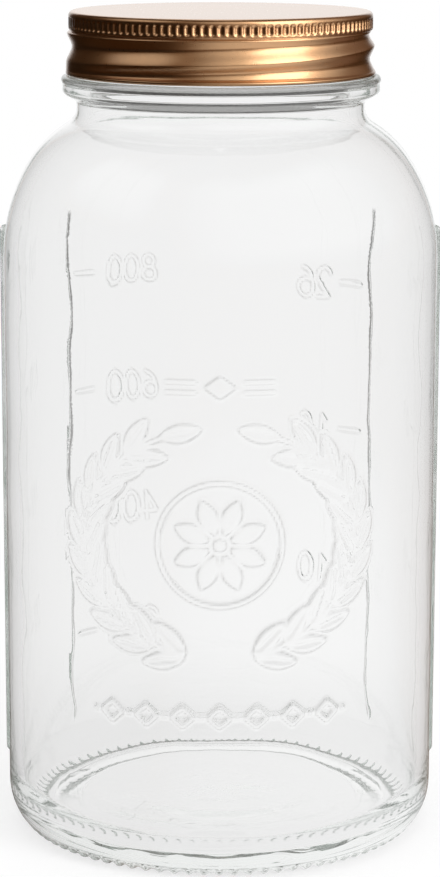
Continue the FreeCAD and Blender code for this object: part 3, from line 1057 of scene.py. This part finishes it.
def new_material(name):
    """An empty material and its graph."""
    material = bpy.data.materials.new(name)
    material.use_nodes = True
    return material, Graph(material.node_tree)


def round_the_axis(graph):
    """The place, its distance from the axis, and how far the surface faces away from the axis and up."""
    x, y, z = graph.split(graph.node("ShaderNodeTexCoord").outputs["Object"])
    across, away, up = graph.split(graph.node("ShaderNodeNewGeometry").outputs["Normal"])
    radius = (x * x + y * y) ** 0.5 + 0.00001
    return (x, y, z), radius, (x * across + y * away) / radius, up


def painted_line_shade_mask(graph, place):
    """Mask of painted shade: 1 along the scale's two upright lines, with finely jagged sides, and fainter
    towards the base.
    """
    x, y, z = place
    middle = BODY_RADIUS * MM * math.sin(SCALE_HALF / BODY_RADIUS)
    jagged = graph.noise(graph.place(), 1900.0, 1.0) * 0.0008
    line = 1.0 - (abs(abs(x) - middle) + jagged).above(0.0006, 0.0008)
    ends = z.above(0.035, 0.037) * (1.0 - z.above(0.138, 0.1382))
    return line * y.above(0.02, 0.022) * ends * (0.4 + z.above(0.05, 0.12) * 0.6)


def glass_material(glass):
    """Clear soda-lime glass: a faint green tint by thickness and the fine unevenness of a moulded skin. Grey
    painted shade is mixed into the colour wherever the relief leans away from the wall, dark painted shade
    along the scale's two upright lines, and a band of grey painted shade where the collar's crest turns in
    under the lid."""
    material, graph = new_material("clear_moulded_glass")
    skin_place = graph.place((1.0, 1.0, 0.6))
    skin = graph.noise(skin_place, 95.0, 2.0)
    cords = graph.noise(graph.place((1.0, 1.0, 0.14)), 60.0, 1.0)
    haze = graph.noise(skin_place, 30.0, 3.0)
    clear = graph.mix(haze, WHITE, (0.992, 0.993, 0.992, 1.0))
    place, radius, outward, _ = round_the_axis(graph)
    _, y, z = place
    wall = z.above(0.012, 0.014) * (1.0 - z.above(0.1365, 0.1385)) * radius.above(0.0465, 0.047)
    wall = wall * (abs(y) / radius).above(0.1, 0.14)
    # Painted shade: grey mixed into the colour where the relief leans away from the wall, standing in for
    # dark surroundings seen through the relief's edges.
    lean = (1.0 - abs(outward)).above(0.008, 0.17)
    # Painted shade: a dark band on the collar's crest under the lid, standing in for the lid's dark underside
    # mirrored in the glass.
    crest = z.above(0.1693, 0.1698) * (1.0 - z.above(0.1714, 0.1718)) * radius.above(0.0336, 0.034)
    with_painted_edges = graph.mix(wall * lean, clear, colour(glass.painted_edge_shade))
    # Painted shade along the scale's two upright lines, standing in for light bent away from the backdrop by
    # the raised lines.
    with_painted_edges = graph.mix(wall * painted_line_shade_mask(graph, place), with_painted_edges, colour(glass.painted_line_shade))
    inputs = {
        "Base Color": graph.mix(crest, with_painted_edges, colour(glass.painted_edge_shade)),
        "Roughness": haze.above(0.45, 0.9) * 0.02,
        "IOR": glass.refraction,
        "Transmission Weight": 1.0,
        "Normal": graph.bump(skin * 0.6 + cords, 0.3, 0.00022),
    }
    shader = graph.node("ShaderNodeBsdfPrincipled", None, inputs)
    absorb = {"Color": colour(glass.absorption), "Density": glass.density}
    volume = graph.node("ShaderNodeVolumeAbsorption", None, absorb)
    graph.node("ShaderNodeOutputMaterial", None, {"Surface": shader.outputs[0], "Volume": volume.outputs[0]})
    return material


def lid_material(lid):
    """Satin copper lacquer on rolled steel, with fine upright streaks and a slightly uneven tone. Faces that
    look towards the axis and the underside of the top have a pale lining."""
    material, graph = new_material("satin_copper_lacquer")
    streaks = graph.noise(graph.place((1.0, 1.0, 0.05)), 1500.0, 3.0, 0.6)
    grain = graph.noise(graph.place(), 2600.0, 2.0)
    tone = graph.noise(graph.place(), 42.0, 3.0)
    warm = graph.mix(tone.above(0.3, 0.7), colour(lid.colour), colour(lid.warm_colour))
    shade = graph.mix(streaks.above(0.35, 0.75) * 0.22, warm, colour(lid.streak_colour))
    (_, _, z), _, outward, up = round_the_axis(graph)
    lining = (-outward).above(0.2, 0.5) + (-up).above(0.5, 0.8) * z.above(0.1835, 0.184)
    inputs = {
        "Base Color": graph.mix(lining, shade, colour(lid.inside_colour)),
        "Metallic": 1.0 - lining,
        "Roughness": lid.roughness + (streaks - 0.5) * 0.12 + (grain - 0.5) * 0.06,
        "Coat Weight": lid.coat,
        "Coat Roughness": 0.2,
        "Normal": graph.bump(streaks + grain * 0.5, 0.12, 0.00006),
    }
    shader = graph.node("ShaderNodeBsdfPrincipled", None, inputs)
    graph.node("ShaderNodeOutputMaterial", None, {"Surface": shader.outputs[0]})
    return material


# ---------------------------------------------------------------- settings, operators and panel


class JarGlassSettings(bpy.types.PropertyGroup):
    """The glass body."""

    waviness: FloatProperty(
        name="Outer waves", description="Depth of the slow waves outside", default=0.03 * MM, unit="LENGTH"
    )
    inner_waviness: FloatProperty(
        name="Inner waves", description="Depth of the slow waves inside", default=0.035 * MM, unit="LENGTH"
    )
    refraction: FloatProperty(name="Refraction", description="Index of refraction of the glass", default=1.5)
    density: FloatProperty(name="Tint density", description="Absorption for each metre of glass", default=1.8)
    # Painted shade: the grey mixed into the glass on the relief's edges and on the collar's crest under the
    # lid.
    painted_edge_shade: FloatVectorProperty(
        name="Edges", description="Colour of the relief's edges", default=(0.27, 0.27, 0.26), subtype="COLOR"
    )
    # Painted shade: the dark colour mixed into the glass along the scale's upright lines.
    painted_line_shade: FloatVectorProperty(
        name="Lines", description="Colour of the scale's lines", default=(0.06, 0.06, 0.058), subtype="COLOR"
    )
    absorption: FloatVectorProperty(
        name="Tint", description="Colour that thick glass shows", default=(0.5, 0.6, 0.53), subtype="COLOR"
    )


class JarLidSettings(bpy.types.PropertyGroup):
    """The screw lid."""

    colour: FloatVectorProperty(
        name="Lacquer", description="Main colour of the lacquer", default=(0.61, 0.345, 0.16), subtype="COLOR"
    )
    warm_colour: FloatVectorProperty(
        name="Warm tone", description="Slightly redder tone of the lacquer", default=(0.62, 0.335, 0.155),
        subtype="COLOR",
    )
    streak_colour: FloatVectorProperty(
        name="Streaks", description="Tone of the rolled streaks", default=(0.54, 0.33, 0.165), subtype="COLOR"
    )
    inside_colour: FloatVectorProperty(
        name="Inside", description="Colour of the lining", default=(0.62, 0.61, 0.59), subtype="COLOR"
    )
    roughness: FloatProperty(name="Roughness", description="Mean roughness of the lacquer", default=0.3)
    coat: FloatProperty(name="Coat", description="Weight of the clear coat", default=1.0)


class JarStageSettings(bpy.types.PropertyGroup):
    """Camera, floor and light."""

    camera_distance: FloatProperty(
        name="Camera distance", description="From the jar's axis, level", default=0.6446, unit="LENGTH"
    )
    camera_height: FloatProperty(
        name="Camera height", description="Above the floor", default=0.2223, unit="LENGTH"
    )
    camera_pitch: FloatProperty(
        name="Camera pitch", description="Downward tilt", default=math.radians(11.72), unit="ROTATION"
    )
    camera_roll: FloatProperty(
        name="Camera roll", description="Turn about its line of sight", default=math.radians(0.1),
        unit="ROTATION",
    )
    camera_lens: FloatProperty(
        name="Lens", description="Focal length for a sensor of 36 mm on the long side", default=118.9
    )
    bounces: IntProperty(
        name="Bounces", description="Turns that light may take inside the glass", default=96
    )
    floor_width: FloatProperty(
        name="Floor width", description="Side of the floor", default=4.0, unit="LENGTH"
    )
    floor_colour: FloatVectorProperty(
        name="Floor", description="Colour of the floor", default=(0.86, 0.86, 0.86), subtype="COLOR"
    )


class JarSettings(bpy.types.PropertyGroup):
    """All settings of the jar."""

    glass: PointerProperty(type=JarGlassSettings)
    lid: PointerProperty(type=JarLidSettings)
    stage: PointerProperty(type=JarStageSettings)


class JAR_OT_make_glass(bpy.types.Operator):
    """Makes the moulded glass jar"""

    bl_idname = "jar.make_glass"
    bl_label = "Make glass jar"

    def execute(self, context):
        glass = context.scene.preserving_jar.glass
        piece = make_glass(glass)
        piece.data.materials.append(glass_material(glass))
        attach(piece, "root")
        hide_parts(JAR_NODE)
        return {"FINISHED"}


class JAR_OT_make_lid(bpy.types.Operator):
    """Makes the rolled screw lid"""

    bl_idname = "jar.make_lid"
    bl_label = "Make screw lid"

    def execute(self, context):
        lid = context.scene.preserving_jar.lid
        piece = make_lid()
        piece.data.materials.append(lid_material(lid))
        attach(piece, "root")
        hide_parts(LID_NODE)
        return {"FINISHED"}


# ---- light, with directions in degrees from the front towards the right ----
KEY_DIRECTION = 45.0
LEFT_DIRECTION = -76.0
MIDDLE_DIRECTION = -20.0
AIM_HEIGHT = 0.7              # share of the jar's height that the lamps are aimed at


def add_softbox(name, direction, elevation, distance, width, height, power, only=None):
    """An area lamp aimed at the upper part of the jar. A lamp for one piece only is mirrored in it, and the
    others are not mirrored at all."""
    lamp = bpy.data.lights.new(name, "AREA")
    lamp.shape = "RECTANGLE"
    lamp.size = width
    lamp.size_y = height
    lamp.energy = power
    made = bpy.data.objects.new(name, lamp)
    turned, raised = math.radians(direction), math.radians(elevation)
    away = (math.sin(turned) * math.cos(raised), -math.cos(turned) * math.cos(raised), math.sin(raised))
    made.location = [distance * part for part in away]
    made.location.z += jar_high.z * AIM_HEIGHT
    made.rotation_euler = (math.radians(90.0 - elevation), 0.0, turned)
    made.visible_glossy = only is not None
    made.visible_transmission = False
    if only is not None:
        lit = bpy.data.collections.new(name)
        lit.objects.link(only)
        made.light_linking.receiver_collection = lit
    bpy.context.scene.collection.objects.link(made)


def ray_kinds(graph):
    """1 for rays straight from the camera, for mirrored rays, and for rays that came through glass."""
    rays = graph.node("ShaderNodeLightPath")
    seen, glossy, through = (
        Value(graph, rays.outputs[name]) for name in ("Is Camera Ray", "Is Glossy Ray", "Is Transmission Ray")
    )
    return seen, glossy * (1.0 - through), through


def compass(x, y):
    """How far a direction points to the right and to the front, by its level part alone."""
    flat = (x * x + y * y) ** 0.5 + 0.001
    return x / flat, -y / flat


def towards(right, front, direction):
    """Cosine of the level angle to a direction."""
    turned = math.radians(direction)
    return right * math.sin(turned) + front * math.cos(turned)


def warmed(graph, level):
    """A grey level as a colour. Dark surfaces of the studio are warm brown, pale ones are neutral."""
    tone = graph.mix(level.above(0.0, 0.45), (1.0, 0.42, 0.12, 1.0), WHITE)
    return graph.node("ShaderNodeVectorMath", {"operation": "SCALE"}, {0: tone, "Scale": level}).outputs[0]


def make_world():
    """A studio round the jar, by direction: a white backdrop behind, a soft light with a wide halo to the
    right of the camera, weaker ones that stand high on the left and in the middle, and dark walls. Glass
    looks out on pale walls."""
    world = bpy.data.worlds.new("studio")
    bpy.context.scene.world = world
    world.use_nodes = True
    graph = Graph(world.node_tree)
    x, y, z = graph.split(graph.node("ShaderNodeTexCoord").outputs["Generated"])
    right, front = compass(x, y)
    high = z.above(0.3, 0.62)
    studio = 0.03 + towards(right, front, KEY_DIRECTION).above(0.25, 0.92) * 0.85
    studio = (studio + right.above(0.2, 0.9) * 0.2) * (0.28 + z.above(0.0, 0.25) * 0.72)
    studio = studio + towards(right, front, LEFT_DIRECTION).above(0.8, 0.97) * high * 0.8
    studio = studio + towards(right, front, MIDDLE_DIRECTION).above(0.7, 1.0) * high * 0.2
    studio = studio * (1.0 - z.above(0.75, 0.92) * 0.9)
    studio = studio + (-front).above(0.9, 0.985) * (1.0 - studio)
    pale = 0.78 + (-front).above(0.0, 0.9) * 0.16
    seen, glossy, _ = ray_kinds(graph)
    level = pale + glossy * (studio - pale)
    level = level + seen * (1.0 - level)
    shader = graph.node("ShaderNodeBackground", None, {"Color": warmed(graph, level)})
    graph.node("ShaderNodeOutputWorld", None, {"Surface": shader.outputs[0]})


def floor_material(stage):
    """Pale matt paper that keeps a soft shadow near the jar and is plain white further away. Mirrored in the
    lid it glows with a painted pool of light before the soft light and is dark elsewhere; seen through the
    glass it has a painted shadow near the jar and painted shade away from it, except behind."""
    material, graph = new_material("pale_floor")
    fibre = graph.noise(graph.place(), 900.0, 2.0)
    darker = [0.97 * part for part in stage.floor_colour]
    base = graph.mix(fibre * 0.3, colour(stage.floor_colour), colour(darker))
    matt = graph.node("ShaderNodeBsdfPrincipled", None, {"Base Color": base, "Roughness": 0.9})
    x, y, _ = graph.split(graph.node("ShaderNodeTexCoord").outputs["Object"])
    distance = (x * x + y * y) ** 0.5
    right, front = compass(x, y)
    seen, glossy, through = ray_kinds(graph)
    # Painted light: mirrored rays see a glowing pool before the soft light and a darker floor further out.
    lit = 0.04 + towards(right, front, KEY_DIRECTION - 10.0).above(0.3, 1.0) * 0.95
    lit = (lit + right.above(0.2, 0.9) * 0.18) * (1.0 - distance.above(0.25, 0.6) * 0.72)
    lit = lit + (-front).above(0.9, 0.985) * (1.0 - lit)
    # Painted shadow near the jar and painted shade away from it except behind, seen only through the glass.
    pale = 0.84 + distance.above(0.04, 0.16) * 0.1
    pale = pale - distance.above(0.06, 0.25) * (1.0 - (-front).above(0.0, 0.9)) * 0.16
    level = 1.0 + glossy * (lit - 1.0) + through * (pale - 1.0)
    white = graph.node("ShaderNodeEmission", None, {"Color": warmed(graph, level)})
    share = seen * (0.72 + distance.above(0.06, 0.3) * 0.28) + through + glossy
    shader = graph.node("ShaderNodeMixShader", None, {0: share, 1: matt.outputs[0], 2: white.outputs[0]})
    graph.node("ShaderNodeOutputMaterial", None, {"Surface": shader.outputs[0]})
    return material


def add_floor(stage):
    """A square sheet that the jar stands on."""
    half = stage.floor_width / 2
    mesh = bpy.data.meshes.new("floor")
    corners = [(-half, -half, 0.0), (half, -half, 0.0), (half, half, 0.0), (-half, half, 0.0)]
    mesh.from_pydata(corners, [], [(0, 1, 2, 3)])
    mesh.materials.append(floor_material(stage))
    floor = bpy.data.objects.new("floor", mesh)
    bpy.context.scene.collection.objects.link(floor)
    return floor


def add_camera(stage):
    """A camera level with the front, tilted down and turned a little about its line of sight."""
    lens = bpy.data.cameras.new("camera")
    lens.lens = stage.camera_lens
    lens.sensor_width = 36.0
    lens.clip_start = 0.01
    camera = bpy.data.objects.new("camera", lens)
    camera.location = (0.0, -stage.camera_distance, stage.camera_height)
    tilt = Matrix.Rotation(math.radians(90.0) - stage.camera_pitch, 4, "X")
    camera.rotation_euler = (tilt @ Matrix.Rotation(stage.camera_roll, 4, "Z")).to_euler()
    bpy.context.scene.collection.objects.link(camera)
    return camera


class JAR_OT_set_stage(bpy.types.Operator):
    """Sets the floor, the light and the camera"""

    bl_idname = "jar.set_stage"
    bl_label = "Set stage"

    def execute(self, context):
        stage = context.scene.preserving_jar.stage
        add_floor(stage)
        make_world()
        add_softbox("softbox_right", KEY_DIRECTION, 22.0, distance=0.95, width=0.34, height=0.6, power=6.0)
        add_softbox("softbox_top", 0.0, 80.0, distance=1.2, width=0.9, height=0.9, power=6.0)
        lid = bpy.data.objects[LID_PIECE]
        add_softbox(
            "softbox_lid", KEY_DIRECTION + 5.0, 24.0, distance=0.6, width=0.42, height=0.56, power=2.2,
            only=lid,
        )
        context.scene.camera = add_camera(stage)
        context.scene.view_settings.view_transform = "Standard"
        cycles = context.scene.cycles
        cycles.max_bounces = cycles.glossy_bounces = cycles.transmission_bounces = stage.bounces
        return {"FINISHED"}


class JAR_PT_panel(bpy.types.Panel):
    """Lists the steps and their settings"""

    bl_idname = "JAR_PT_panel"
    bl_label = "Preserving jar"
    bl_space_type = "VIEW_3D"
    bl_region_type = "UI"
    bl_category = "Jar"

    def draw(self, context):
        settings = context.scene.preserving_jar
        for operator, group in (
            (JAR_OT_make_glass, settings.glass),
            (JAR_OT_make_lid, settings.lid),
            (JAR_OT_set_stage, settings.stage),
        ):
            box = self.layout.box()
            box.operator(operator.bl_idname)
            for name in group.__annotations__:
                box.prop(group, name)


CLASSES = (
    JarGlassSettings, JarLidSettings, JarStageSettings, JarSettings,
    JAR_OT_make_glass, JAR_OT_make_lid, JAR_OT_set_stage, JAR_PT_panel,
)


def register():
    for item in CLASSES:
        bpy.utils.register_class(item)
    bpy.types.Scene.preserving_jar = PointerProperty(type=JarSettings)


def unregister():
    del bpy.types.Scene.preserving_jar
    for item in reversed(CLASSES):
        bpy.utils.unregister_class(item)


def main():
    register()
    bpy.ops.jar.make_glass()
    bpy.ops.jar.make_lid()
    bpy.ops.jar.set_stage()


if __name__ == "__main__":
    main()
